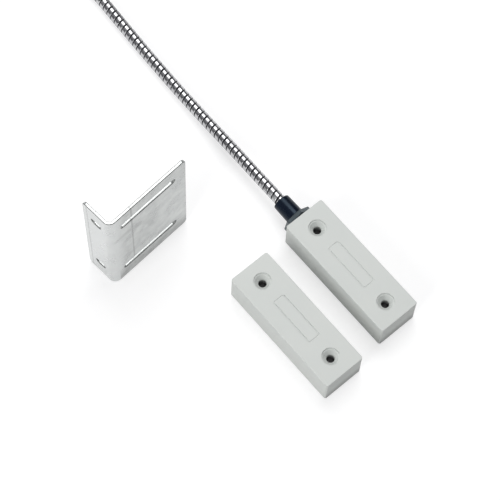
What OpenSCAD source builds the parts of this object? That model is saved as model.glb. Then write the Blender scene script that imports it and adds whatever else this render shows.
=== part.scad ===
// Surface magnetic contact: a potted reed switch in a moulded housing with an armoured
// lead, its magnet in a matching housing, and an L bracket to mount either of them on.
// Origin: midway between the switch's two screw holes, on the face it is mounted by.
// +X runs along the switch away from its lead, +Z out of the mounting face.

/* [Housings] */
// Length of each housing
housing_l = 90; // [80:1:110]
// Width of each housing
housing_w = 29; // [28:0.5:36]
// Height of each housing
housing_h = 24; // [23:0.5:32]
// Thickness of the side and end walls
wall = 2.4; // [1.8:0.1:3]
// Thickness of the top wall
top_wall = 3; // [2:0.1:4]
// Radius of the upright corners
corner_r = 1.5; // [1.3:0.1:3]
// Radius of the edge round the top face
edge_r = 0.5; // [0.3:0.1:1.1]
// Radius of the upright corners of the cavity
cavity_r = 1; // [0.4:0.1:2]
// How far the potting stays back from the mounting face
potting_recess = 0.6; // [0.2:0.1:2]
// Length of the blank panel outlined on the top face
panel_l = 34.4; // [24:0.2:38]
// Width of that panel
panel_w = 8.8; // [6:0.2:12]
// Radius of the panel's corners
panel_r = 1.6; // [1:0.1:2.4]
// Width of the groove that outlines it
panel_line = 0.8; // [0.4:0.1:0.9]
// Depth of that groove
panel_depth = 0.4; // [0.1:0.05:0.6]

/* [Screw holes] */
// Distance from the end of a housing to its screw hole
hole_inset = 13.25; // [12.5:0.25:16]
// Diameter of the screw holes
hole_d = 5.2; // [4:0.1:6]
// Diameter of the recess for a screw head
head_d = 11.4; // [10:0.2:12]
// Width of the flat ring inside the recess
head_ledge = 0.8; // [0.4:0.1:1.2]
// Depth of the straight part of the recess
head_depth = 1.2; // [0.6:0.1:1.6]
// Depth of the cone below it
cone_depth = 3; // [2:0.1:4]
// Thickness of the post round a screw hole
post_wall = 2.2; // [1.6:0.1:3]

/* [Cable gland] */
// How far the gland sits off the middle of the end face
gland_offset = 2; // [1:0.5:4]
// Width of the gland's hexagon across its flats
hex_af = 18; // [16:0.5:19]
// Thickness of the hexagon
hex_t = 3.2; // [2.8:0.1:6]
// How far the hexagon is turned from standing on a corner
hex_turn = 10; // [0:1:30]
// Height of the bevel on the hexagon's corners, on the side of the washer
hex_bevel = 0.9; // [0.4:0.1:1.4]
// Thickness of the flat washer under the hexagon
washer_t = 0.8; // [0.5:0.1:1.5]
// Diameter of the flat washer
washer_d = 15.6; // [14:0.2:17]
// Diameter of the threaded stub that passes the end wall
stub_d = 12; // [11:0.2:13]
// How far the stub reaches past its locknut
stub_over = 0.8; // [0.5:0.1:1]
// Width of the locknut across its flats
locknut_af = 15; // [14:0.2:16]
// Thickness of the locknut
locknut_t = 3; // [2.5:0.1:3.4]
// Diameter of the threaded neck under the sleeve
neck_d = 9.6; // [9.4:0.1:9.8]
// Length of the threaded neck
neck_l = 5; // [3:0.1:6]
// Thickness of the rubber seal
seal_t = 3; // [2:0.1:4]
// Length of the tapered sleeve
sleeve_l = 14.5; // [11:0.5:18]
// Diameter of the sleeve at the hexagon
sleeve_d = 12.2; // [11.6:0.1:13]
// Diameter of the sleeve at its tip
sleeve_tip_d = 11.6; // [10:0.1:11.6]
// Height of the bevel round the sleeve's tip
tip_bevel = 0.4; // [0.3:0.1:1.2]

/* [Armoured lead] */
// Outside diameter of the conduit
conduit_d = 7.8; // [7:0.1:8]
// Diameter of the cable inside the conduit
cable_d = 4.2; // [3.6:0.1:4.6]
// Diameter of one insulated core
core_d = 0.9; // [0.6:0.05:0.9]
// Clearance round what passes through a bore
fit = 0.1; // [0.05:0.05:0.2]
// Radius of the outer turn of the coil, at the middle of the conduit
coil_r = 48; // [46:1:54]
// Distance from one turn of the coil to the next
turn_step = 8; // [7.8:0.1:9]
// Diameter of the bush on the end of the conduit
bush_d = 9.2; // [8.6:0.1:10]
// Length of that bush
bush_l = 12; // [8:0.5:14]
// Length of the bare cable past the bush
tail_l = 44; // [30:1:50]
// Length of the cores past the cable's jacket
tail_core_l = 18; // [10:1:24]
// Width of the tie round the coil
tie_w = 2.6; // [2:0.1:4]
// Thickness of the tie
tie_t = 1; // [0.6:0.1:1.4]
// Side of the tie's square head
tie_head = 4.6; // [3.6:0.2:6]

/* [Reed switch] */
// Length of the glass capsule
reed_l = 16; // [13:0.5:18]
// Diameter of the glass capsule
reed_d = 2.6; // [2.2:0.1:3]
// Thickness of the glass
glass_t = 0.4; // [0.3:0.05:0.5]
// Length of the sealed glass at each end
seal_l = 2; // [1:0.1:2.6]
// Diameter of a reed lead
lead_d = 0.6; // [0.4:0.05:0.8]
// Thickness of a reed blade
blade_t = 0.2; // [0.15:0.01:0.3]
// Gap between the open contacts
contact_gap = 0.12; // [0.08:0.01:0.2]
// How far the two blades overlap
blade_lap = 1.2; // [0.8:0.1:2]
// How far the leads reach past the glass
lead_out = 8; // [6:0.5:10]
// Distance from the middle of the housing to the reed
reed_side = 8; // [7:0.1:8.6]
// Length of a splice
splice_l = 6; // [4:0.5:6]
// Diameter of a reed splice
splice_d = 2.4; // [2.2:0.1:2.8]
// Diameter of the splice in the tamper loop
loop_splice_d = 3.4; // [3.2:0.1:3.8]

/* [Magnet] */
// Space between the two housings
side_gap = 20; // [12:1:30]
// How far the magnet stands forward of the switch
magnet_shift = 5; // [0:1:8]
// Length of the bar magnet
magnet_l = 46; // [30:1:48]
// Width of the bar magnet
magnet_w = 8; // [5:0.5:10]
// Height of the bar magnet
magnet_h = 12; // [6:0.5:16]
// Potting between the bar and the wall that faces the switch
magnet_skin = 2; // [0.5:0.1:4]

/* [Bracket] */
// Width of the bracket, the height it stands to on its side
bracket_w = 93; // [84:1:110]
// Length of the long flange, from the outside of the bend
long_flange = 62; // [54:0.5:80]
// Length of the short flange, from the outside of the bend
short_flange = 23; // [20:0.5:30]
// Thickness of the sheet
sheet_t = 2; // [1.5:0.1:2.5]
// Inside radius of the bend
bend_r = 3; // [1:0.2:4]
// Radius of the flanges' corners
sheet_corner_r = 3; // [2:0.5:5]
// Width of every slot
slot_w = 4.6; // [4.2:0.1:5.4]
// Distance from the outside of the bend to the long slots
long_slot_from = 9; // [8:0.5:13]
// Distance from the long slots to the end of their flange
long_slot_edge = 9; // [6:0.5:14]
// Distance from the outside of the bend to the short slots
short_slot_from = 8; // [6.5:0.5:8]
// Distance from the short slots to the end of their flange
short_slot_edge = 7; // [5:0.5:7]
// How far the bracket stands turned from the line of the housings
bracket_turn = 4.4; // [0:0.2:10]

/* [Hidden] */
$fn = 64;
eps = 0.01;

// What follows from the sizes above
hole_pitch = housing_l - 2 * hole_inset;
hole_x = hole_pitch / 2;
post_d = hole_d + 2 * post_wall;
cone_d = head_d - 2 * head_ledge;
cavity_l = housing_l - 2 * wall;
cavity_w = housing_w - 2 * wall;
cavity_h = housing_h - top_wall;
mid_z = housing_h / 2;
end_x = -housing_l / 2;
hex_top = washer_t + hex_t;
neck_top = hex_top + neck_l;
stub_in = wall + locknut_t + stub_over;
conduit_bore = conduit_d + 2 * fit;
cable_bore = cable_d + 2 * fit;
conduit_seat = 1;
cable_out = 0.6;
gland_y = -gland_offset;
reed_y = -reed_side;
splice_x = reed_l / 2 + lead_out - splice_l;
magnet_at = [magnet_shift, -housing_w - side_gap, 0];
bracket_at = [-90.5, -114.8, 0];
bend_out = bend_r + sheet_t;
slot_z = bracket_w / 2 - hole_pitch / 2;
long_slot = long_flange - long_slot_from - long_slot_edge;
short_slot = short_flange - short_slot_from - short_slot_edge;

// Where the cores start, on the end of the cable, and how they are spaced there
core_x = end_x + stub_in + cable_out;
core_gap = 0.9;
// Beside the post, in line with the reed
pass_side = 2.2;
past_post = 1;
post_pass_x = -hole_x - pass_side;
past_post_x = -hole_x + post_d / 2 + past_post;
// The tamper loop hangs below the reed, and the black core comes back beside it past its far lead
loop_drop = 5;
return_side = 3.4;
turn_out = 3;
loop_z = mid_z - loop_drop;
return_y = reed_y + return_side;
turn_x = reed_l / 2 + lead_out + turn_out;

// The lead's route past the gland: it sags to the ground and runs on straight
route_end = [-280, 4];
conduit_z = conduit_d / 2;
conduit_route = concat(
    [for (out = [conduit_seat, hex_top + 1, hex_top + sleeve_l, hex_top + sleeve_l + 4])
        [end_x - out, gland_y, mid_z]],
    [[-78, -1.9, 11.7], [-90, -1.7, 10.9], [-104, -1.3, 9.7], [-119, -0.9, 8.2],
     [-135, -0.6, 6.7], [-151, -0.2, 5.4], [-167, 0.2, 4.5], [-183, 0.7, 4.1], [-200, 1.3, conduit_z],
     [-216, 2, conduit_z], [-232, 2.8, conduit_z], [-248, 3.6, conduit_z], [-264, 4, conduit_z],
     [route_end[0], route_end[1], conduit_z]]);

// The coil winds inwards from where the lead meets it, clockwise seen from above
coil_at = [route_end[0], route_end[1] + coil_r, 0];
coil_turns = 1.4;
coil_last_r = coil_r - turn_step * coil_turns;
coil_in = coil_last_r - conduit_d / 2;
coil_out = coil_r + conduit_d / 2;
tie_turn = 225;
// The bush lies inside the last turn, and the cable curls on from it and comes down to the ground
bush_turn = 126;
bush_r = coil_in - bush_d / 2 - 0.8;
coil_end_l = 18;
tail_r = 18;
tail_sweep = tail_l / tail_r * 180 / PI;
tail_down = 80;
tail_start = -bush_l / 2 - 1;
tail_route = concat([[bush_r, -bush_l / 2, bush_d / 2]],
    [for (i = [0:10]) let (a = tail_sweep * i / 10, down = min(1, a / tail_down))
        [bush_r - tail_r * (1 - cos(a)), tail_start - tail_r * sin(a),
         cable_d / 2 + (bush_d - cable_d) / 2 * (1 + cos(180 * down)) / 2]]);

// Plan outline with rounded corners
module plan(l, w, r) {
    square([l - 2 * r, w], center = true);
    square([l, w - 2 * r], center = true);
    for (x = [-1, 1], y = [-1, 1])
        translate([x * (l / 2 - r), y * (w / 2 - r)]) circle(r);
}

// Block with rounded upright corners and a rounded edge round its top face
module rounded_block(l, w, h) {
    linear_extrude(h - edge_r) plan(l, w, corner_r);
    linear_extrude(h) plan(l - 2 * edge_r, w - 2 * edge_r, corner_r - edge_r);
    for (y = [-1, 1])
        translate([0, y * (w / 2 - edge_r), h - edge_r]) rotate([0, 90, 0])
            cylinder(r = edge_r, h = l - 2 * corner_r, center = true);
    for (x = [-1, 1])
        translate([x * (l / 2 - edge_r), 0, h - edge_r]) rotate([90, 0, 0])
            cylinder(r = edge_r, h = w - 2 * corner_r, center = true);
    for (x = [-1, 1], y = [-1, 1])
        translate([x * (l / 2 - corner_r), y * (w / 2 - corner_r), h - edge_r])
            rotate_extrude() translate([corner_r - edge_r, 0]) circle(edge_r);
}

// Screw hole with its recess: straight, a flat ring, then a cone down to the hole
module screw_hole() {
    translate([0, 0, -eps]) cylinder(d = hole_d, h = housing_h + 2 * eps);
    translate([0, 0, housing_h - head_depth]) cylinder(d = head_d, h = head_depth + eps);
    translate([0, 0, housing_h - head_depth - cone_depth])
        cylinder(d1 = hole_d, d2 = cone_d, h = cone_depth);
}

// Shallow groove round the blank panel on the top face
module panel_outline() {
    inset = 2 * panel_line;
    translate([0, 0, housing_h - panel_depth]) linear_extrude(panel_depth + eps) difference() {
        plan(panel_l, panel_w, panel_r);
        plan(panel_l - inset, panel_w - inset, panel_r - panel_line);
    }
}

module at_holes() {
    for (x = [-1, 1]) translate([x * hole_x, 0, 0]) children();
}

// The hollow of a housing, less the posts round its screw holes
module cavity(from_z) {
    difference() {
        translate([0, 0, from_z]) linear_extrude(cavity_h - from_z) plan(cavity_l, cavity_w, cavity_r);
        at_holes() translate([0, 0, from_z - 1]) cylinder(d = post_d, h = housing_h);
    }
}

// One moulded housing, open at the mounting face
module housing() {
    difference() {
        rounded_block(housing_l, housing_w, housing_h);
        cavity(-eps);
        at_holes() screw_hole();
        panel_outline();
    }
}

// Moves a piece onto the gland's axis, its height measured outwards from the end face
module on_gland() {
    translate([end_x, gland_y, mid_z]) rotate([0, -90, 0]) children();
}

// Hexagon with its corners bevelled at the foot
module bevelled_hex(af, h, bevel) {
    across = af / cos(30);
    intersection() {
        cylinder(d = across, h = h, $fn = 6);
        union() {
            cylinder(d1 = af, d2 = across + 1, h = bevel);
            translate([0, 0, bevel]) cylinder(d = across + 1, h = h - bevel);
        }
    }
}

// Solid tube of round section swept along a route
function unit(v) = v / norm(v);
function heading(route, i) = unit(route[min(i + 1, len(route) - 1)] - route[max(i - 1, 0)]);
function ring(route, i, r, sides) =
    let (t = heading(route, i), s = unit(cross(t, [0, 0, 1])), u = cross(s, t))
    [for (k = [0:sides - 1]) route[i] + r * (cos(360 * k / sides) * s + sin(360 * k / sides) * u)];

module swept(route, d, sides) {
    last = len(route) - 1;
    polyhedron(
        points = [for (i = [0:last]) each ring(route, i, d / 2, sides)],
        faces = concat(
            [[for (k = [sides - 1:-1:0]) k]],
            [for (i = [0:last - 1], k = [0:sides - 1])
                [i * sides + k, i * sides + (k + 1) % sides,
                 (i + 1) * sides + (k + 1) % sides, (i + 1) * sides + k]],
            [[for (k = [0:sides - 1]) last * sides + k]]));
}

module switch_housing() {
    color("gainsboro") difference() {
        housing();
        on_gland() translate([0, 0, -wall - eps]) cylinder(d = stub_d, h = wall + 2 * eps);
    }
}

module switch_potting() {
    color("dimgray") difference() {
        cavity(potting_recess);
        on_gland() translate([0, 0, -stub_in]) cylinder(d = stub_d, h = stub_in);
        gland_locknut();
        housing_cable();
        translate([0, reed_y, mid_z]) rotate([0, 90, 0]) {
            cylinder(d = reed_d, h = reed_l, center = true);
            cylinder(d = lead_d, h = reed_l + 2 * lead_out, center = true);
        }
        splice_near();
        splice_far();
        loop_splice();
        core_red();
        core_black();
        core_white();
        core_green();
    }
}

// Glass capsule, hollow, with a lead sealed into each end
module reed_glass() {
    color("honeydew", 0.6) translate([0, reed_y, mid_z]) rotate([0, 90, 0]) difference() {
        cylinder(d = reed_d, h = reed_l, center = true);
        cylinder(d = reed_d - 2 * glass_t, h = reed_l - 2 * seal_l, center = true);
        cylinder(d = lead_d, h = reed_l + 1, center = true);
    }
}

// One reed: a round lead, flattened inside the glass; side is -1 or 1 along X
module reed_blade(side) {
    blade_z = side * (contact_gap + blade_t) / 2;
    lead_from = reed_l / 2 - seal_l;
    translate([0, reed_y, mid_z]) {
        translate([side * (lead_from - eps), 0, 0]) rotate([0, side * 90, 0])
            cylinder(d = lead_d, h = seal_l + lead_out - splice_l / 2 + eps);
        translate([side * (lead_from - blade_lap / 2) / 2, 0, blade_z])
            cube([lead_from + blade_lap / 2, 2 * lead_d, blade_t], center = true);
    }
}

module reed_blade_fixed() { color("goldenrod") reed_blade(-1); }
module reed_blade_moving() { color("goldenrod") reed_blade(1); }

// Crimped sleeve over a reed lead and the core that feeds it
module reed_splice(side) {
    translate([side * splice_x, reed_y, mid_z]) rotate([0, side * 90, 0]) difference() {
        cylinder(d = splice_d, h = splice_l);
        translate([0, 0, -eps]) cylinder(d = lead_d, h = splice_l / 2 + eps);
    }
}

module splice_near() { color("silver") reed_splice(-1); }
module splice_far() { color("silver") reed_splice(1); }

// Crimp that joins the two cores of the tamper loop
loop_x = -splice_x - splice_l;
module loop_splice() {
    color("silver") translate([loop_x, reed_y, loop_z]) rotate([0, 90, 0])
        cylinder(d = loop_splice_d, h = splice_l);
}

// End of the cable inside the gland and the housing
module housing_cable() {
    color("black") on_gland() translate([0, 0, -stub_in - cable_out])
        cylinder(d = cable_d, h = stub_in + cable_out + conduit_seat);
}

// Route that every core takes from the cable and past the screw post
function past_post(dy, dz) =
    [[core_x, gland_y + dy, mid_z + dz], [core_x + 0.6, gland_y + dy, mid_z + dz],
     [post_pass_x, reed_y + dy, mid_z + dz], [past_post_x - 3, reed_y + dy, mid_z + dz]];

module core_red() {
    color("firebrick") swept(concat(past_post(-core_gap, core_gap),
        [[past_post_x + 2, reed_y, mid_z], [-splice_x - splice_l, reed_y, mid_z]]), core_d, 8);
}

module core_black() {
    color("black") swept(concat(past_post(core_gap, core_gap),
        [[past_post_x + 2, return_y, mid_z + core_gap], [turn_x - 2, return_y, mid_z + core_gap],
         [turn_x, return_y - 0.6, mid_z + core_gap / 2], [turn_x + 0.8, (return_y + reed_y) / 2, mid_z],
         [turn_x, reed_y + 0.6, mid_z], [turn_x - 1.4, reed_y, mid_z],
         [splice_x + splice_l, reed_y, mid_z]]), core_d, 8);
}

module loop_core(dy) {
    swept(concat(past_post(dy, -core_gap),
        [[past_post_x + 3, reed_y + dy, loop_z], [loop_x, reed_y + dy, loop_z]]), core_d, 8);
}

module core_white() { color("white") loop_core(-core_gap); }
module core_green() { color("seagreen") loop_core(core_gap); }

// Gland body: threaded stub through the wall, hexagon, and threaded neck for the sleeve
module gland_body() {
    color([0.27, 0.28, 0.29]) on_gland() difference() {
        union() {
            translate([0, 0, -stub_in]) cylinder(d = stub_d, h = stub_in + washer_t + eps);
            translate([0, 0, washer_t]) rotate([0, 0, hex_turn]) bevelled_hex(hex_af, hex_t, hex_bevel);
            translate([0, 0, hex_top - eps]) cylinder(d = neck_d, h = neck_l + eps);
        }
        translate([0, 0, -stub_in - 1]) cylinder(d = cable_bore, h = stub_in + hex_top);
        translate([0, 0, conduit_seat]) cylinder(d = conduit_bore, h = neck_top);
    }
}

module gland_washer() {
    color("black") on_gland() difference() {
        cylinder(d = washer_d, h = washer_t);
        translate([0, 0, -1]) cylinder(d = stub_d, h = washer_t + 2);
    }
}

module gland_locknut() {
    color("dimgray") on_gland() translate([0, 0, -wall - locknut_t]) difference() {
        cylinder(d = locknut_af / cos(30), h = locknut_t, $fn = 6);
        translate([0, 0, -1]) cylinder(d = stub_d, h = locknut_t + 2);
    }
}

module gland_seal() {
    color("black") on_gland() translate([0, 0, neck_top]) difference() {
        cylinder(d = neck_d, h = seal_t);
        translate([0, 0, -1]) cylinder(d = conduit_d, h = seal_t + 2);
    }
}

// Tapered sleeve that screws down over the neck and squeezes the seal
module gland_sleeve() {
    bevel_d = sleeve_tip_d - 2 * tip_bevel;
    color([0.06, 0.07, 0.1]) on_gland() translate([0, 0, hex_top]) difference() {
        union() {
            cylinder(d1 = sleeve_d, d2 = sleeve_tip_d, h = sleeve_l - tip_bevel);
            translate([0, 0, sleeve_l - tip_bevel]) cylinder(d1 = sleeve_tip_d, d2 = bevel_d, h = tip_bevel);
        }
        translate([0, 0, -1]) cylinder(d = neck_d, h = neck_l + seal_t + 1);
        translate([0, 0, -1]) cylinder(d = conduit_bore, h = sleeve_l + 2);
    }
}

module conduit() { color("silver") swept(conduit_route, conduit_d, 10); }

// Moves a piece to the last turn of the coil, its X outwards from the coil's middle
module at_coil_end() { translate(coil_at) rotate([0, 0, bush_turn]) children(); }

// Moves a piece to where the conduit ends, its height measured along the bush
module at_bush() {
    at_coil_end() translate([bush_r, bush_l / 2, bush_d / 2]) rotate([90, 0, 0]) children();
}

module conduit_coil() {
    color("silver") {
        difference() {
            translate(coil_at) rotate_extrude()
                translate([coil_in, 0]) square([coil_out - coil_in, conduit_d]);
            translate([route_end[0], route_end[1], conduit_z]) rotate([0, 90, 0])
                cylinder(d = conduit_bore, h = coil_out);
            coil_tie();
        }
        at_bush() translate([0, 0, -coil_end_l]) cylinder(d = conduit_d, h = coil_end_l);
    }
}

// Tie round the turns at one place, with its head on the outside
module coil_tie() {
    in_r = coil_in - tie_t;
    out_r = coil_out + tie_t;
    head_z = conduit_d + tie_t - tie_head;
    color("black") translate(coil_at) rotate([0, 0, tie_turn]) {
        for (x = [in_r, coil_out]) translate([x, -tie_w / 2, 0]) cube([tie_t, tie_w, conduit_d + tie_t]);
        for (z = [0, conduit_d]) translate([in_r, -tie_w / 2, z]) cube([out_r - in_r, tie_w, tie_t]);
        translate([out_r - eps, -tie_head / 2, head_z]) cube(tie_head);
    }
}

// Plastic bush on the end of the conduit, which keeps the strip off the cable
module conduit_bush() {
    color("black") at_bush() cylinder(d = bush_d, h = bush_l);
}

// Bare cable past the bush, and a core of it: side and level are the core's place on its end
module cable_tail() { color("black") at_coil_end() swept(tail_route, cable_d, 8); }

module tail_core(side, level) {
    from = tail_route[len(tail_route) - 1];
    t = heading(tail_route, len(tail_route) - 1);
    across = unit(cross(t, [0, 0, 1]));
    spread = side * (level > 0 ? 2.4 : 1);
    ground = [from[0], from[1], core_d / 2];
    at_coil_end() swept([
        from + core_gap * [side * across[0], side * across[1], level],
        from + core_gap * [side * across[0], side * across[1], level] + 2 * t,
        ground + [0, 0, core_d / 2] + tail_core_l * 0.45 * t + 1.2 * spread * across,
        ground + tail_core_l * 0.75 * t + 1.8 * spread * across,
        ground + tail_core_l * t + 2 * spread * across], core_d, 8);
}

module tail_core_red() { color("firebrick") tail_core(-1, 1); }
module tail_core_black() { color("black") tail_core(1, 1); }
module tail_core_white() { color("white") tail_core(-1, -1); }
module tail_core_green() { color("seagreen") tail_core(1, -1); }

module magnet_housing() { color("gainsboro") translate(magnet_at) housing(); }

module bar() {
    translate([0, cavity_w / 2 - magnet_skin - magnet_w / 2, mid_z])
        cube([magnet_l, magnet_w, magnet_h], center = true);
}

module magnet_bar() { color("darkslategray") translate(magnet_at) bar(); }

module magnet_potting() {
    color("dimgray") translate(magnet_at) difference() {
        cavity(potting_recess);
        bar();
    }
}

// Round-ended slot that starts at x = 0
module slot(l) {
    translate([slot_w / 2, -slot_w / 2]) square([l - slot_w, slot_w]);
    for (x = [slot_w / 2, l - slot_w / 2]) translate([x, 0]) circle(d = slot_w);
}

// Flat flange with its far corners rounded; x is measured from the outside of the bend
module flange(l, slot_from, slot_l) {
    linear_extrude(sheet_t) difference() {
        union() {
            translate([bend_out, 0]) square([l - sheet_corner_r - bend_out, bracket_w]);
            translate([bend_out, sheet_corner_r]) square([l - bend_out, bracket_w - 2 * sheet_corner_r]);
            for (y = [sheet_corner_r, bracket_w - sheet_corner_r])
                translate([l - sheet_corner_r, y]) circle(sheet_corner_r);
        }
        for (y = [slot_z, bracket_w - slot_z]) translate([slot_from, y]) slot(slot_l);
    }
}

// Folded from one sheet: the long flange runs along Y, the short one back along X
module bracket() {
    color("silver") translate(bracket_at) rotate([0, 0, bracket_turn]) {
        translate([-sheet_t, 0, 0]) rotate([90, 0, 90]) flange(long_flange, long_slot_from, long_slot);
        rotate([90, 0, 180]) flange(short_flange, short_slot_from, short_slot);
        linear_extrude(bracket_w) intersection() {
            translate([-bend_out, bend_out]) difference() {
                circle(bend_out);
                circle(bend_r);
            }
            translate([-bend_out, 0]) square(bend_out);
        }
    }
}

switch_housing();
switch_potting();
reed_glass();
reed_blade_fixed();
reed_blade_moving();
splice_near();
splice_far();
loop_splice();
housing_cable();
core_red();
core_black();
core_white();
core_green();
gland_body();
gland_washer();
gland_locknut();
gland_seal();
gland_sleeve();
conduit();
conduit_coil();
coil_tie();
conduit_bush();
cable_tail();
tail_core_red();
tail_core_black();
tail_core_white();
tail_core_green();
magnet_housing();
magnet_bar();
magnet_potting();
bracket();
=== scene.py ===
import math

import bmesh
import bpy
from mathutils import Matrix, Vector
from mathutils.geometry import interpolate_bezier


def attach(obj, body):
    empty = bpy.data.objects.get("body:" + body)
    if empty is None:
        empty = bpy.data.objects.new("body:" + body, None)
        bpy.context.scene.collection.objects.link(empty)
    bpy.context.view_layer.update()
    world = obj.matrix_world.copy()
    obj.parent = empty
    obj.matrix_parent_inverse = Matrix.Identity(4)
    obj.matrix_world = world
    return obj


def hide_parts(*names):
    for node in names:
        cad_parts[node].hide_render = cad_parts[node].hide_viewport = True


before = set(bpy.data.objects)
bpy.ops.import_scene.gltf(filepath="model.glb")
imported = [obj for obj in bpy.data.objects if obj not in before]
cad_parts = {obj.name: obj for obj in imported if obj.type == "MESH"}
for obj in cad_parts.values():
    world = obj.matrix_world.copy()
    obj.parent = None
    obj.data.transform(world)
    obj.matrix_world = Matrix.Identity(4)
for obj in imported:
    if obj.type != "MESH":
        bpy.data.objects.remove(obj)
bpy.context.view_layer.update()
MM = 0.001

# Camera: high up off the far end of the switch, on a long lens, rolled a little.
# Its bearing, height and distance come from the corners of the two housings and the bracket.
BEARING = math.radians(46.332)
ELEVATION = math.radians(68.267)
ROLL = math.radians(3.531)
AIM = Vector((-54.28, -35.06, 0)) * MM
DISTANCE = 1.2596
back = Vector((
    math.sin(BEARING) * math.cos(ELEVATION),
    -math.cos(BEARING) * math.cos(ELEVATION),
    math.sin(ELEVATION),
))
right = Vector((math.cos(BEARING), math.sin(BEARING), 0))
turn = Matrix.Rotation(ROLL, 3, back)
axes = Matrix((turn @ right, turn @ back.cross(right), back)).transposed()
camera_data = bpy.data.cameras.new("camera")
camera_data.sensor_width = 36
camera_data.lens = 144
camera_data.clip_start = 0.05
camera_data.clip_end = 20
camera = bpy.data.objects.new("camera", camera_data)
camera.matrix_world = Matrix.Translation(AIM + back * DISTANCE) @ axes.to_4x4()
bpy.context.collection.objects.link(camera)
bpy.context.scene.camera = camera


# Armoured lead: a steel strip wound into a flexible conduit, each turn hooked over the next.
# It leaves the gland, sags to the ground, runs on straight and ends in a small coil, out of view.
LEAD_D = 7.8
STRIP_PITCH = 4.1
STEPS_PER_TURN = 28
GROOVE_R = 3.3
# Half of the strip's section: distance along the conduit from the middle of the groove, and radius
STRIP_HALF = [
    (0, GROOVE_R), (0.36, GROOVE_R), (0.42, 3.6), (0.5, 3.76), (0.6, 3.85), (0.75, 3.89), (0.95, 3.9),
    (2.05, 3.9),
]
ROUTE = [
    (-46, -2, 12), (-50, -2, 12), (-63.5, -2, 12), (-67.5, -2, 12), (-78, -1.9, 11.7),
    (-90, -1.7, 10.9), (-104, -1.3, 9.7), (-119, -0.9, 8.2), (-135, -0.6, 6.7), (-151, -0.2, 5.4),
    (-167, 0.2, 4.5), (-183, 0.7, 4.1), (-200, 1.3, 3.9), (-216, 2, 3.9), (-232, 2.8, 3.9),
    (-248, 3.6, 3.9), (-264, 4, 3.9),
]
COIL_AT = Vector((-280, 52, 0))
COIL_R = 48
COIL_STEP = 8
COIL_TURNS = 1.4
TIE_TURN = 225
TIE_T = 1
BUSH_TURN = 126
BUSH_R = 27.5
BUSH_Z = 4.6
LEAVES_COIL = 75


def smooth_line(points, parts):
    """Points along a smooth curve through the given ones, with so many parts from each to the next."""
    line = []
    for i in range(len(points) - 1):
        a, b = points[i], points[i + 1]
        before, after = points[max(i - 1, 0)], points[min(i + 2, len(points) - 1)]
        line += interpolate_bezier(a, a + (b - before) / 6, b - (after - a) / 6, b, parts + 1)[:-1]
    return line + [points[-1]]


def at_coil_end(x, y, z):
    """A point given in the bush's frame: x outwards from the coil's middle, y back along the bush."""
    return COIL_AT + Matrix.Rotation(math.radians(BUSH_TURN), 3, "Z") @ Vector((x, y, z))


def lead_route():
    """The lead's middle line in millimetres: the run from the gland, the coil, and the way to the bush."""
    points = smooth_line([Vector(p) for p in ROUTE] + [Vector((-280, 4, LEAD_D / 2))], 8)
    coil_angle = 360 * COIL_TURNS - LEAVES_COIL
    coil = []
    for i in range(1, round(coil_angle / 3) + 1):
        turned = 3 * i
        r = COIL_R - COIL_STEP * turned / 360
        angle = math.radians(-90 - turned)
        off_tie = min(abs((-90 - turned - TIE_TURN + 180) % 360 - 180) / 30, 1)
        z = LEAD_D / 2 + TIE_T * math.cos(math.pi / 2 * off_tie) ** 2
        coil.append(COIL_AT + Vector((r * math.cos(angle), r * math.sin(angle), z)))
    start, end = coil[-1], at_coil_end(BUSH_R, 9, BUSH_Z)
    along = (coil[-1] - coil[-2]).normalized()
    into_bush = at_coil_end(BUSH_R, 0, BUSH_Z) - end
    way_in = interpolate_bezier(start, start + along * 14, end - into_bush.normalized() * 14, end, 24)
    return points + coil + way_in[1:] + [at_coil_end(BUSH_R, 0, BUSH_Z)]


def even_line(points, gap):
    """The same line as points that lie an even distance apart, and its length."""
    lengths = [0]
    for a, b in zip(points, points[1:]):
        lengths.append(lengths[-1] + (b - a).length)
    count = round(lengths[-1] / gap)
    line, i = [], 0
    for k in range(count + 1):
        s = lengths[-1] * k / count
        while i < len(points) - 2 and lengths[i + 1] < s:
            i += 1
        part = (s - lengths[i]) / (lengths[i + 1] - lengths[i])
        line.append(points[i].lerp(points[i + 1], part))
    return line, lengths[-1]


lead_line, lead_length = even_line(lead_route(), 1)
# The strip is wound straight first: one turn by a spin that climbs by the pitch, then its copies
one_turn = bmesh.new()
section = STRIP_HALF[:-1] + [(STRIP_PITCH - z, r) for z, r in reversed(STRIP_HALF)]
edge = [one_turn.verts.new((r, 0, z)) for z, r in section]
for pair in zip(edge, edge[1:]):
    one_turn.edges.new(pair)
bmesh.ops.spin(
    one_turn, geom=one_turn.verts[:] + one_turn.edges[:], cent=(0, 0, 0), axis=(0, 0, 1),
    dvec=(0, 0, STRIP_PITCH / STEPS_PER_TURN), angle=-math.tau, steps=STEPS_PER_TURN,
)
turn_mesh = bpy.data.meshes.new("one_turn")
one_turn.to_mesh(turn_mesh)
one_turn.free()
armour = bmesh.new()
for k in range(int(lead_length / STRIP_PITCH) - 1):
    before = len(armour.verts)
    armour.from_mesh(turn_mesh)
    armour.verts.ensure_lookup_table()
    bmesh.ops.translate(armour, verts=armour.verts[before:], vec=(0, 0, k * STRIP_PITCH))
bmesh.ops.remove_doubles(armour, verts=armour.verts, dist=0.005)
bpy.data.meshes.remove(turn_mesh)

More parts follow.
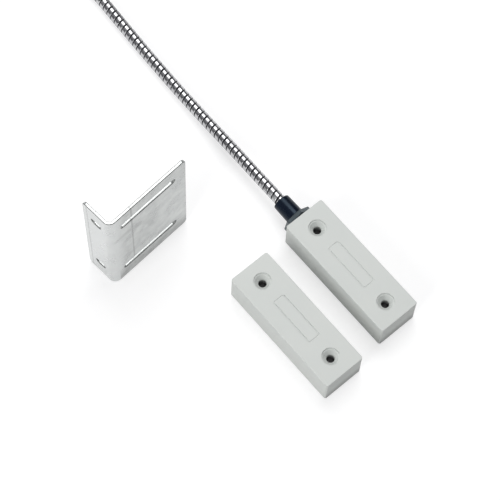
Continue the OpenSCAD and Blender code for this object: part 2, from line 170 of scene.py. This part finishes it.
# How high each point stands on the strip, which the material reads to paint shade into the grooves, and then the
# bend along the route
crown = armour.verts.layers.float.new("crown")
for v in armour.verts:
    v[crown] = (math.hypot(v.co.x, v.co.y) - GROOVE_R) / (LEAD_D / 2 - GROOVE_R)
    s = min(max(v.co.z, 0), len(lead_line) - 1.001)
    i = int(s)
    middle = lead_line[i].lerp(lead_line[i + 1], s - i)
    ahead = lead_line[min(i + 2, len(lead_line) - 1)] - lead_line[max(i - 1, 0)]
    side = ahead.cross(Vector((0, 0, 1))).normalized()
    v.co = (middle + side * v.co.x + side.cross(ahead).normalized() * v.co.y) * MM
for face in armour.faces:
    face.smooth = True
bmesh.ops.recalc_face_normals(armour, faces=armour.faces)


def add_piece(name, mesh, material):
    """A new piece from a bmesh or a curve, which rides on the one body and takes the given material."""
    if isinstance(mesh, bmesh.types.BMesh):
        data = bpy.data.meshes.new(name)
        mesh.to_mesh(data)
        mesh.free()
    else:
        data = mesh
    data.materials.append(material)
    piece = bpy.data.objects.new(name, data)
    bpy.context.collection.objects.link(piece)
    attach(piece, "root")
    return piece


def make_material(name, tone, other_tone, rough, uneven=0.06, patch=40, grain=1500, relief=0.2,
                  depth=0.02, stretch=(1, 1, 1), metallic=0.0, **sockets):
    """Two tones in soft patches, uneven gloss, and a fine grain that stands in relief."""
    made = bpy.data.materials.new(name)
    made.use_nodes = True
    tree = made.node_tree
    shader = tree.nodes["Principled BSDF"]
    shader.inputs["Metallic"].default_value = metallic
    for socket, value in sockets.items():
        shader.inputs[socket.replace("_", " ")].default_value = value
    place = tree.nodes.new("ShaderNodeTexCoord")
    mapping = tree.nodes.new("ShaderNodeMapping")
    mapping.inputs["Scale"].default_value = stretch
    tree.links.new(place.outputs["Object"], mapping.inputs["Vector"])

    def noise(scale, detail):
        node = tree.nodes.new("ShaderNodeTexNoise")
        node.inputs["Scale"].default_value = scale
        node.inputs["Detail"].default_value = detail
        tree.links.new(mapping.outputs["Vector"], node.inputs["Vector"])
        return node.outputs["Fac"]

    patches, fine = noise(patch, 3), noise(grain, 2)
    tones = tree.nodes.new("ShaderNodeValToRGB")
    tones.name = "tones"
    tones.color_ramp.elements[0].position = 0.35
    tones.color_ramp.elements[1].position = 0.65
    tones.color_ramp.elements[0].color = (*other_tone, 1)
    tones.color_ramp.elements[1].color = (*tone, 1)
    tree.links.new(patches, tones.inputs["Fac"])
    tree.links.new(tones.outputs["Color"], shader.inputs["Base Color"])
    gloss = tree.nodes.new("ShaderNodeMapRange")
    gloss.name = "gloss"
    gloss.inputs["From Min"].default_value = 0.3
    gloss.inputs["From Max"].default_value = 0.7
    gloss.inputs["To Min"].default_value = rough - uneven
    gloss.inputs["To Max"].default_value = rough + uneven
    tree.links.new(patches, gloss.inputs["Value"])
    tree.links.new(gloss.outputs["Result"], shader.inputs["Roughness"])
    bump = tree.nodes.new("ShaderNodeBump")
    bump.inputs["Strength"].default_value = relief
    bump.inputs["Distance"].default_value = depth * MM
    tree.links.new(fine, bump.inputs["Height"])
    tree.links.new(bump.outputs["Normal"], shader.inputs["Normal"])
    return made


def shade_low_parts(material, attribute, low_tone, low_rough):
    """Dull and darken a material where the piece's own attribute is near 0."""
    tree = material.node_tree
    shader = tree.nodes["Principled BSDF"]
    height = tree.nodes.new("ShaderNodeAttribute")
    height.attribute_name = attribute
    tones = tree.nodes.new("ShaderNodeMix")
    tones.data_type = "RGBA"
    tones.inputs["A"].default_value = (*low_tone, 1)
    tree.links.new(height.outputs["Fac"], tones.inputs["Factor"])
    tree.links.new(tree.nodes["tones"].outputs["Color"], tones.inputs["B"])
    tree.links.new(tones.outputs["Result"], shader.inputs["Base Color"])
    gloss = tree.nodes.new("ShaderNodeMix")
    gloss.inputs["A"].default_value = low_rough
    tree.links.new(height.outputs["Fac"], gloss.inputs["Factor"])
    tree.links.new(tree.nodes["gloss"].outputs["Result"], gloss.inputs["B"])
    tree.links.new(gloss.outputs["Result"], shader.inputs["Roughness"])


def shade_end_feet(material, tall, foot_shade_tone):
    """Painted shade: darken the faces that look along +X towards their foot, from so many millimetres up."""
    tree = material.node_tree
    surface = tree.nodes["Principled BSDF"].inputs["Base Color"]
    place = tree.nodes.new("ShaderNodeTexCoord")
    height = tree.nodes.new("ShaderNodeSeparateXYZ")
    tree.links.new(place.outputs["Object"], height.inputs["Vector"])
    fade = tree.nodes.new("ShaderNodeMapRange")
    fade.inputs["From Min"].default_value = 0
    fade.inputs["From Max"].default_value = tall * MM
    fade.inputs["To Min"].default_value = 1
    fade.inputs["To Max"].default_value = 0
    tree.links.new(height.outputs["Z"], fade.inputs["Value"])
    facing = tree.nodes.new("ShaderNodeSeparateXYZ")
    tree.links.new(place.outputs["Normal"], facing.inputs["Vector"])
    on_end = tree.nodes.new("ShaderNodeMath")
    on_end.operation = "GREATER_THAN"
    on_end.inputs[1].default_value = 0.8
    tree.links.new(facing.outputs["X"], on_end.inputs[0])
    both = tree.nodes.new("ShaderNodeMath")
    both.operation = "MULTIPLY"
    tree.links.new(fade.outputs["Result"], both.inputs[0])
    tree.links.new(on_end.outputs["Value"], both.inputs[1])
    tones = tree.nodes.new("ShaderNodeMix")
    tones.data_type = "RGBA"
    tones.inputs["B"].default_value = (*foot_shade_tone, 1)
    tree.links.new(both.outputs["Value"], tones.inputs["Factor"])
    tree.links.new(surface.links[0].from_socket, tones.inputs["A"])
    tree.links.new(tones.outputs["Result"], surface)


strip_steel = make_material(
    "strip_steel", (0.54, 0.54, 0.55), (0.46, 0.46, 0.475), 0.13, uneven=0.04, patch=90, grain=900,
    relief=0.06, metallic=1.0,
)
# Painted shade: the grooves between the turns, where the strip stands lowest, are painted near black and dulled
shade_low_parts(strip_steel, "crown", (0.03, 0.032, 0.036), 0.6)
lead = add_piece("armoured_lead", armour, strip_steel)
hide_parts("conduit", "conduit_coil")


# Tie: a nylon strap drawn tight round both turns of the coil, its head on the outside.
# It is moulded flat with a toothed face, pushed through the head and cut off short.
TIE_W = 2.6
TIE_HEAD = 4.6
TURNS_IN = COIL_R - COIL_STEP * 1.125 - LEAD_D / 2
TURNS_OUT = COIL_R - COIL_STEP * 0.125 + LEAD_D / 2
tie_nylon = make_material(
    "tie_nylon", (0.012, 0.012, 0.013), (0.02, 0.02, 0.021), 0.38, patch=300, grain=3000, relief=0.15,
)


def at_tie(mesh):
    """Move a mesh made in millimetres, its X outwards along the coil's radius, to the tie's place."""
    bmesh.ops.rotate(mesh, verts=mesh.verts, matrix=Matrix.Rotation(math.radians(TIE_TURN), 3, "Z"))
    bmesh.ops.translate(mesh, verts=mesh.verts, vec=COIL_AT)
    bmesh.ops.scale(mesh, verts=mesh.verts, vec=(MM, MM, MM))


strap = bmesh.new()
corners = [(TURNS_IN, TIE_T), (TURNS_OUT, TIE_T), (TURNS_OUT, TIE_T + LEAD_D), (TURNS_IN, TIE_T + LEAD_D)]
loop = [strap.verts.new((x, -TIE_W / 2, z)) for x, z in corners]
for a, b in zip(loop, loop[1:] + loop[:1]):
    strap.edges.new((a, b))
bmesh.ops.bevel(
    strap, geom=strap.verts[:], offset=3.2, segments=6, profile=0.5, affect="VERTICES", material=-1,
)
swept = bmesh.ops.extrude_edge_only(strap, edges=strap.edges[:])["geom"]
bmesh.ops.translate(
    strap, verts=[v for v in swept if isinstance(v, bmesh.types.BMVert)], vec=(0, TIE_W, 0),
)
bmesh.ops.recalc_face_normals(strap, faces=strap.faces)
at_tie(strap)
tie = add_piece("coil_tie_strap", strap, tie_nylon)
wall = tie.modifiers.new("wall", "SOLIDIFY")
wall.thickness = TIE_T * MM
wall.offset = 1
soft_edge = tie.modifiers.new("soft_edge", "BEVEL")
soft_edge.width = 0.2 * MM
soft_edge.segments = 2
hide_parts("coil_tie")

head = bmesh.new()
bmesh.ops.create_cube(head, size=1)
bmesh.ops.scale(head, verts=head.verts, vec=(3.6, TIE_HEAD, TIE_HEAD))
bmesh.ops.bevel(head, geom=head.edges[:], offset=0.5, segments=3, profile=0.5, affect="EDGES", material=-1)
for facing in (1, -1):
    end = max(head.faces, key=lambda f: f.normal.z * facing * f.calc_area())
    inner = bmesh.ops.inset_region(head, faces=[end], thickness=0.55)
    bmesh.ops.translate(head, verts=end.verts[:], vec=(0, 0, -0.9 * facing))
bmesh.ops.translate(head, verts=head.verts, vec=(TURNS_OUT + TIE_T + 1.8, 0, 6.2))
stub = bmesh.ops.create_cube(head, size=1)["verts"]
bmesh.ops.scale(head, verts=stub, vec=(TIE_T, TIE_W, 3.4))
bmesh.ops.translate(head, verts=stub, vec=(TURNS_OUT + TIE_T + 1.7, 0, 8.4))
at_tie(head)
tie_lock = add_piece("coil_tie_head", head, tie_nylon)


# Bush: a black nylon cap pushed over the cut end of the conduit, so that the strip can't chafe
# the cable. Two shallow grooves run round it for grip.
def at_bush(mesh):
    """Move a mesh made in millimetres along Z, from 0 where the conduit enters, to the bush's place."""
    ahead = at_coil_end(0, -1, 0) - at_coil_end(0, 0, 0)
    bmesh.ops.rotate(mesh, verts=mesh.verts, matrix=ahead.to_track_quat("Z", "Y").to_matrix())
    bmesh.ops.translate(mesh, verts=mesh.verts, vec=at_coil_end(BUSH_R, 6, BUSH_Z))
    bmesh.ops.scale(mesh, verts=mesh.verts, vec=(MM, MM, MM))


def turned_piece(outline, steps=48):
    """A closed outline of (radius, height) spun once round the Z axis."""
    mesh = bmesh.new()
    rim = [mesh.verts.new((r, 0, z)) for r, z in outline]
    for a, b in zip(rim, rim[1:] + rim[:1]):
        mesh.edges.new((a, b))
    bmesh.ops.spin(
        mesh, geom=mesh.verts[:] + mesh.edges[:], cent=(0, 0, 0), axis=(0, 0, 1), angle=math.tau,
        steps=steps, use_merge=True,
    )
    bmesh.ops.recalc_face_normals(mesh, faces=mesh.faces)
    for face in mesh.faces:
        face.smooth = True
    for e in mesh.edges:
        e.smooth = e.calc_face_angle(0) < math.radians(40)
    return mesh


bush_nylon = make_material(
    "bush_nylon", (0.016, 0.016, 0.018), (0.028, 0.028, 0.03), 0.45, patch=250, grain=2500, relief=0.2,
)
bush = turned_piece([
    (3.95, 0), (4.3, 0), (4.6, 0.3), (4.6, 3), (4.3, 3.3), (4.3, 4), (4.6, 4.3), (4.6, 5.7), (4.3, 6),
    (4.3, 6.7), (4.6, 7), (4.6, 10.2), (4.4, 10.8), (3.4, 12), (2.4, 12), (2.2, 11.7), (2.2, 9.5),
    (3.95, 9.5),
])
at_bush(bush)
conduit_cap = add_piece("conduit_cap", bush, bush_nylon)
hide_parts("conduit_bush")


# Cable tail: the round jacketed cable that the conduit guards, bare past the bush, and its four cores.
# The jacket is cut back, the cores fan out on the ground, and their last few millimetres are stripped.
CABLE_D = 4.2
CORE_D = 0.9
CORE_L = 18
TAIL_R = 18
TAIL_L = 44
TAIL_DOWN = 80


def tube(name, points, diameter, material):
    """A round tube along points in millimetres, closed at both ends."""
    data = bpy.data.curves.new(name, "CURVE")
    data.dimensions = "3D"
    data.bevel_depth = diameter / 2 * MM
    data.bevel_resolution = 5
    data.use_fill_caps = True
    spline = data.splines.new("POLY")
    spline.points.add(len(points) - 1)
    for place, point in zip(spline.points, points):
        place.co = (*(point * MM), 1)
    spline.use_smooth = True
    return add_piece(name, data, material)


tail_sweep = math.degrees(TAIL_L / TAIL_R)
tail_points = [at_coil_end(BUSH_R, -5, BUSH_Z), at_coil_end(BUSH_R, -6, BUSH_Z)]
for i in range(31):
    swept_angle = tail_sweep * i / 30
    a = math.radians(swept_angle)
    down = min(1, swept_angle / TAIL_DOWN)
    tail_points.append(at_coil_end(
        BUSH_R - TAIL_R * (1 - math.cos(a)), -7 - TAIL_R * math.sin(a),
        CABLE_D / 2 + (2 * BUSH_Z - CABLE_D) / 2 * (1 + math.cos(math.pi * down)) / 2,
    ))
cable_pvc = make_material(
    "cable_pvc", (0.018, 0.018, 0.019), (0.03, 0.03, 0.031), 0.5, patch=200, grain=2200, relief=0.25,
)
tail = tube("cable_tail_jacket", tail_points, CABLE_D, cable_pvc)
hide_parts("cable_tail")

tinned = make_material(
    "tinned_copper", (0.62, 0.6, 0.57), (0.5, 0.48, 0.45), 0.34, patch=900, grain=5000, metallic=1.0,
)
CORES = {
    "red": (-1, 1, (0.45, 0.02, 0.015), (0.36, 0.015, 0.012)),
    "black": (1, 1, (0.014, 0.014, 0.014), (0.022, 0.022, 0.022)),
    "white": (-1, -1, (0.72, 0.71, 0.68), (0.62, 0.61, 0.58)),
    "green": (1, -1, (0.02, 0.2, 0.06), (0.015, 0.15, 0.045)),
}
core_end = tail_points[-1]
core_ahead = (tail_points[-1] - tail_points[-2]).normalized()
core_side = core_ahead.cross(Vector((0, 0, 1))).normalized()
ground = Vector((core_end.x, core_end.y, CORE_D / 2))
core_pvc, core_pieces = {}, []
for colour, (side, level, tone, other_tone) in CORES.items():
    spread = side * (2.4 if level > 0 else 1)
    leaves = core_end + CORE_D * (side * core_side + level * Vector((0, 0, 1)))
    core_line = smooth_line([
        leaves - 2 * core_ahead,
        leaves + 2 * core_ahead,
        ground + Vector((0, 0, CORE_D / 2)) + CORE_L * 0.45 * core_ahead + 1.2 * spread * core_side,
        ground + CORE_L * 0.75 * core_ahead + 1.8 * spread * core_side,
        ground + CORE_L * core_ahead + 2 * spread * core_side,
    ], 8)
    core_pvc[colour] = make_material(
        "core_pvc_" + colour, tone, other_tone, 0.4, patch=400, grain=4000, relief=0.1,
    )
    core = tube("tail_core_" + colour + "_skin", core_line[:-6], CORE_D, core_pvc[colour])
    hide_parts("tail_core_" + colour)
    tip = tube("tail_tip_" + colour, core_line[-9:], 0.5, tinned)
    core_pieces += [core, tip]


# Housings: two alike boxes moulded in pale grey plastic, with a rounded top edge and deep screw holes.
# Each takes the shape of its CAD node, whose sharp edges get the small radius that a mould leaves.
def dressed(node, name, material, edge, clamp=True, bores=()):
    """A piece in the shape of a CAD node: its triangles joined to faces and its sharp edges broken."""
    mesh = bmesh.new()
    mesh.from_mesh(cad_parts[node].data)
    bmesh.ops.remove_doubles(mesh, verts=mesh.verts, dist=2e-6)
    bmesh.ops.dissolve_limit(
        mesh, angle_limit=math.radians(0.6), verts=mesh.verts, edges=mesh.edges, delimit=set(),
    )
    sharp = [e for e in mesh.edges if e.calc_face_angle(0) > math.radians(32)]
    rims = bmesh.ops.bevel(
        mesh, geom=sharp, offset=edge * MM, segments=2, profile=0.5, affect="EDGES",
        clamp_overlap=clamp, material=-1,
    )["faces"]
    level = mesh.loops.layers.float.new("level")
    for face in mesh.faces:
        for corner in face.loops:
            corner[level] = 1
    for face in rims:
        for corner in face.loops:
            corner[level] = 0
    # Painted shade in the bores: 1 outside them, falling with depth below the cone
    unshaded = mesh.verts.layers.float.new("unshaded")
    for v in mesh.verts:
        v[unshaded] = 1
        for x, y in bores:
            off = v.co.xy / MM - Vector((x, y))
            if off.length < BORE_R:
                v[unshaded] = 1 - (BORE_TOP - v.co.z / MM) / (SHADE_OVER * (1.6 + off.y / BORE_R))
    for face in mesh.faces:
        face.smooth = True
    piece = add_piece(name, mesh, material)
    weigh = piece.modifiers.new("even_normals", "WEIGHTED_NORMAL")
    weigh.keep_sharp = True
    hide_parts(node)
    return piece


# Painted shade: the bores are painted dark below the cone; the fade runs over more height on the +Y side, which
# leaves a paler crescent there, a painted light
BORE_R = 2.9
BORE_TOP = 19.8
SHADE_OVER = 2.5
HOLE_X = 31.75
MAGNET_AT = (5, -49)
housing_plastic = make_material(
    "housing_plastic", (0.66, 0.682, 0.655), (0.635, 0.66, 0.635), 0.5, uneven=0.04, patch=35,
    grain=2600, relief=0.12, depth=0.03, Specular_IOR_Level=0.3,
)
# Painted shade: the bores are painted near black below the cone
shade_low_parts(housing_plastic, "unshaded", (0.02, 0.02, 0.024), 0.5)
# Painted shade: the ends that look along +X are painted darker towards their foot
shade_end_feet(housing_plastic, 11, (0.38, 0.395, 0.38))
dressed(
    "switch_housing", "switch_case", housing_plastic, 0.15,
    bores=[(-HOLE_X, 0), (HOLE_X, 0)],
)
dressed(
    "magnet_housing", "magnet_case", housing_plastic, 0.15,
    bores=[(MAGNET_AT[0] - HOLE_X, MAGNET_AT[1]), (MAGNET_AT[0] + HOLE_X, MAGNET_AT[1])],
)


# Gland: a dark grey nylon hexagon screwed against the end wall on a rubber washer, and a blue-black
# sleeve turned down over the neck, which squeezes the seal on the conduit.
gland_nylon = make_material(
    "gland_nylon", (0.075, 0.092, 0.1), (0.06, 0.074, 0.082), 0.26, patch=200, grain=1800, relief=0.08,
    Specular_Tint=(0.82, 0.94, 1, 1),
)
# Painted shade: the hexagon's bevelled rims, along its edges and corners, are painted near black
shade_low_parts(gland_nylon, "level", (0.008, 0.01, 0.014), 0.3)
sleeve_black = make_material(
    "sleeve_black", (0.002, 0.004, 0.011), (0.003, 0.0055, 0.014), 0.25, patch=150, grain=1500, relief=0.06,
    Specular_IOR_Level=0.28, Specular_Tint=(0.6, 0.8, 1, 1),
)
rubber = make_material(
    "rubber", (0.016, 0.016, 0.016), (0.026, 0.026, 0.026), 0.7, patch=250, grain=2500, relief=0.4,
)
dressed("gland_body", "gland_hexagon", gland_nylon, 0.3, clamp=False)
dressed("gland_sleeve", "gland_cone", sleeve_black, 0.25)
dressed("gland_washer", "gland_flat_washer", rubber, 0.12)


# Bracket: cut from satin aluminium sheet, slotted for the screws and folded once to an L.
# Handling has left it marked: a scribed upright line on each flange and a curved smear on the long one.
# The long flange is painted darker towards its foot, a painted shade, and the short flange paler, a painted
# light.
BRACKET_AT = Vector((-90.5, -114.8, 0))
BRACKET_TURN = math.radians(4.4)
SCRIBED_AT = 17.5
SHORT_SCRIBED_AT = -19.5
SMEAR_AT = Vector((0, 10, 41))
SMEAR_R = 23
bracket_metal = make_material(
    "bracket_metal", (0.6, 0.615, 0.605), (0.42, 0.435, 0.43), 0.32, uneven=0.08, patch=120, grain=900,
    relief=0.12, metallic=0.85,
)
# The sheet's broken edges are dulled, as sheared edges are, and painted darker, a painted shade along the rims
shade_low_parts(bracket_metal, "level", (0.2, 0.205, 0.2), 0.5)
tree = bracket_metal.node_tree
surface = tree.nodes["Principled BSDF"].inputs["Base Color"]
object_place = tree.nodes.new("ShaderNodeTexCoord")
on_bracket = tree.nodes.new("ShaderNodeMapping")
on_bracket.vector_type = "TEXTURE"
on_bracket.inputs["Location"].default_value = BRACKET_AT * MM
on_bracket.inputs["Rotation"].default_value = (0, 0, BRACKET_TURN)
tree.links.new(object_place.outputs["Object"], on_bracket.inputs["Vector"])
along_bracket = tree.nodes.new("ShaderNodeSeparateXYZ")
tree.links.new(on_bracket.outputs["Vector"], along_bracket.inputs["Vector"])


def node_math(operation, a, b):
    """One step of arithmetic in the bracket's material, on sockets or plain numbers."""
    node = tree.nodes.new("ShaderNodeMath")
    node.operation = operation
    for socket, value in zip(node.inputs, (a, b)):
        if isinstance(value, (int, float)):
            socket.default_value = value
        else:
            tree.links.new(value, socket)
    return node.outputs["Value"]


def soft_band(value, at, half, soft, strength):
    """A mark that is full within half a width of a place and fades out over the soft millimetres."""
    off = node_math("ABSOLUTE", node_math("SUBTRACT", value, at * MM), 0)
    fade = tree.nodes.new("ShaderNodeMapRange")
    fade.interpolation_type = "SMOOTHSTEP"
    fade.inputs["From Min"].default_value = half * MM
    fade.inputs["From Max"].default_value = (half + soft) * MM
    fade.inputs["To Min"].default_value = strength
    fade.inputs["To Max"].default_value = 0
    tree.links.new(off, fade.inputs["Value"])
    return fade.outputs["Result"]


from_smear = tree.nodes.new("ShaderNodeVectorMath")
from_smear.operation = "DISTANCE"
from_smear.inputs[1].default_value = SMEAR_AT * MM
tree.links.new(on_bracket.outputs["Vector"], from_smear.inputs[0])
mottle_noise = tree.nodes.new("ShaderNodeTexNoise")
mottle_noise.inputs["Scale"].default_value = 160
mottle_noise.inputs["Detail"].default_value = 4
tree.links.new(on_bracket.outputs["Vector"], mottle_noise.inputs["Vector"])
mottle = node_math("MULTIPLY", mottle_noise.outputs["Fac"], 1.8)
scribed = soft_band(along_bracket.outputs["Y"], SCRIBED_AT, 0.15, 0.7, 0.55)
short_scribed = soft_band(along_bracket.outputs["X"], SHORT_SCRIBED_AT, 0.1, 0.7, 0.4)
smear = node_math(
    "MULTIPLY", soft_band(from_smear.outputs["Value"], SMEAR_R, 0.6, 2.6, 0.24),
    node_math("GREATER_THAN", along_bracket.outputs["Z"], (SMEAR_AT.z + 2) * MM),
)
smear = node_math("MULTIPLY", smear, soft_band(along_bracket.outputs["Y"], 20, 15, 4, 1))
# Painted shade: the long flange is painted darker towards its foot
long_foot_shade = node_math(
    "MULTIPLY", soft_band(along_bracket.outputs["Z"], 0, 4, 14, 0.5),
    node_math("GREATER_THAN", along_bracket.outputs["Y"], 5 * MM),
)
# The scribed lines and the smear, together with the painted shade at the foot, mottled alike
marks_and_foot_shade = node_math("MAXIMUM", node_math("MAXIMUM", scribed, short_scribed), node_math("MAXIMUM", smear, long_foot_shade))
marks_and_foot_shade = node_math("MULTIPLY", marks_and_foot_shade, mottle)


def lay_over(amount, tone):
    """Mix a tone over the bracket's colour, as much as the given socket says."""
    tones = tree.nodes.new("ShaderNodeMix")
    tones.data_type = "RGBA"
    tones.inputs["B"].default_value = (*tone, 1)
    tree.links.new(amount, tones.inputs["Factor"])
    tree.links.new(surface.links[0].from_socket, tones.inputs["A"])
    tree.links.new(tones.outputs["Result"], surface)


rims = tree.nodes.new("ShaderNodeAttribute")
rims.attribute_name = "level"
# Painted light: the short flange, all but its rims, is painted paler
short_flange_light = soft_band(along_bracket.outputs["Y"], 0, 4, 8, 0.7)
lay_over(node_math("MULTIPLY", short_flange_light, rims.outputs["Fac"]), (0.68, 0.695, 0.69))
lay_over(marks_and_foot_shade, (0.16, 0.165, 0.16))
dressed("bracket", "bracket_sheet", bracket_metal, 0.42, clamp=False)


# Inner parts, out of sight once the potting is in: the reed in its glass, the crimps, the cores,
# the locknut, the seal and the magnet. The CAD nodes stay, each with its own finish.
potting = make_material(
    "potting", (0.03, 0.032, 0.035), (0.05, 0.052, 0.055), 0.35, patch=90, grain=600, relief=0.3,
)
reed_glass = make_material(
    "reed_glass", (0.75, 0.86, 0.78), (0.7, 0.82, 0.74), 0.05, uneven=0.02, Transmission_Weight=1.0,
    IOR=1.5,
)
reed_nickel_iron = make_material(
    "reed_nickel_iron", (0.55, 0.52, 0.46), (0.45, 0.42, 0.37), 0.3, metallic=1.0,
)
magnet_metal = make_material(
    "magnet_metal", (0.2, 0.2, 0.205), (0.15, 0.15, 0.155), 0.4, patch=150, metallic=1.0,
)
INNER = {
    potting: ["switch_potting", "magnet_potting"],
    reed_glass: ["reed_glass"],
    reed_nickel_iron: ["reed_blade_fixed", "reed_blade_moving"],
    tinned: ["splice_near", "splice_far", "loop_splice"],
    cable_pvc: ["housing_cable"],
    bush_nylon: ["gland_locknut"],
    rubber: ["gland_seal"],
    magnet_metal: ["magnet_bar"],
}
for colour, skin in core_pvc.items():
    INNER[skin] = ["core_" + colour]
for material, nodes in INNER.items():
    for node in nodes:
        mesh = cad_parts[node].data
        mesh.materials.clear()
        mesh.materials.append(material)


# Studio: white paper on the ground, a long soft box overhead and a low, wide lamp on the near side.
# The bright metal mirrors these two, and mirrors the paper below. The paper's glow is seen only by
# the camera and in reflections, and the room is dark but for a pale band along its skyline.
def lamp(name, towards, distance, upright, size, radiance):
    """A rectangular area lamp that looks at the middle of the set, as bright as its radiance says."""
    data = bpy.data.lights.new(name, "AREA")
    data.shape = "RECTANGLE"
    data.size, data.size_y = size
    data.energy = math.pi * data.size * data.size_y * radiance
    away = Vector(towards).normalized()
    side = Vector(upright).cross(away).normalized()
    turned = Matrix((side, away.cross(side), away)).transposed().to_4x4()
    place = bpy.data.objects.new(name, data)
    place.matrix_world = Matrix.Translation(AIM + away * distance) @ turned
    bpy.context.collection.objects.link(place)


lamp("soft_box", (-0.3, 0.3, 0.9), 1.3, (0, 1, 0), (1.0, 0.85), 3.3)
lamp("low_lamp", (0.12, -0.85, 0.52), 1.5, (0, 0, 1), (0.6, 1.1), 5)

world = bpy.data.worlds.new("studio")
world.use_nodes = True
sky = world.node_tree
room = sky.nodes["Background"]
direction = sky.nodes.new("ShaderNodeTexCoord")
height = sky.nodes.new("ShaderNodeSeparateXYZ")
walls = sky.nodes.new("ShaderNodeValToRGB")
ramp = walls.color_ramp
ramp.elements[0].position = 0.14
ramp.elements[0].color = (1, 1, 1, 1)
ramp.elements[1].position = 1
ramp.elements[1].color = (0.5, 0.5, 0.51, 1)
ramp.elements.new(0.2).color = (0.16, 0.16, 0.17, 1)
ramp.elements.new(0.68).color = (0.2, 0.2, 0.21, 1)
ramp.elements.new(0.86).color = (0.45, 0.45, 0.46, 1)
sky.links.new(direction.outputs["Generated"], height.inputs["Vector"])
sky.links.new(height.outputs["Z"], walls.inputs["Fac"])
sky.links.new(walls.outputs["Color"], room.inputs["Color"])
bpy.context.scene.world = world

floor_mesh = bmesh.new()
bmesh.ops.create_grid(floor_mesh, x_segments=1, y_segments=1, size=4)
bmesh.ops.translate(floor_mesh, verts=floor_mesh.verts, vec=(0, 0, -0.0002))
floor_data = bpy.data.meshes.new("floor")
floor_mesh.to_mesh(floor_data)
floor_mesh.free()
paper = bpy.data.materials.new("paper")
paper.use_nodes = True
sheet = paper.node_tree
sheet.nodes.clear()
out = sheet.nodes.new("ShaderNodeOutputMaterial")
matt = sheet.nodes.new("ShaderNodeBsdfDiffuse")
matt.inputs["Color"].default_value = (0.5, 0.5, 0.5, 1)
glow = sheet.nodes.new("ShaderNodeEmission")
both = sheet.nodes.new("ShaderNodeAddShader")
path = sheet.nodes.new("ShaderNodeLightPath")
mirrored = sheet.nodes.new("ShaderNodeMath")
mirrored.operation = "MAXIMUM"
seen = sheet.nodes.new("ShaderNodeMath")
seen.operation = "MAXIMUM"
level = sheet.nodes.new("ShaderNodeMath")
level.operation = "MULTIPLY"
level.inputs[1].default_value = 0.6
sheet.links.new(path.outputs["Is Glossy Ray"], mirrored.inputs[0])
sheet.links.new(path.outputs["Is Transmission Ray"], mirrored.inputs[1])
sheet.links.new(path.outputs["Is Camera Ray"], seen.inputs[0])
sheet.links.new(mirrored.outputs["Value"], seen.inputs[1])
sheet.links.new(seen.outputs["Value"], level.inputs[0])
sheet.links.new(level.outputs["Value"], glow.inputs["Strength"])
sheet.links.new(matt.outputs["BSDF"], both.inputs[0])
sheet.links.new(glow.outputs["Emission"], both.inputs[1])
sheet.links.new(both.outputs["Shader"], out.inputs["Surface"])
floor_data.materials.append(paper)
floor = bpy.data.objects.new("floor", floor_data)
bpy.context.collection.objects.link(floor)
bpy.context.scene.view_settings.view_transform = "Standard"
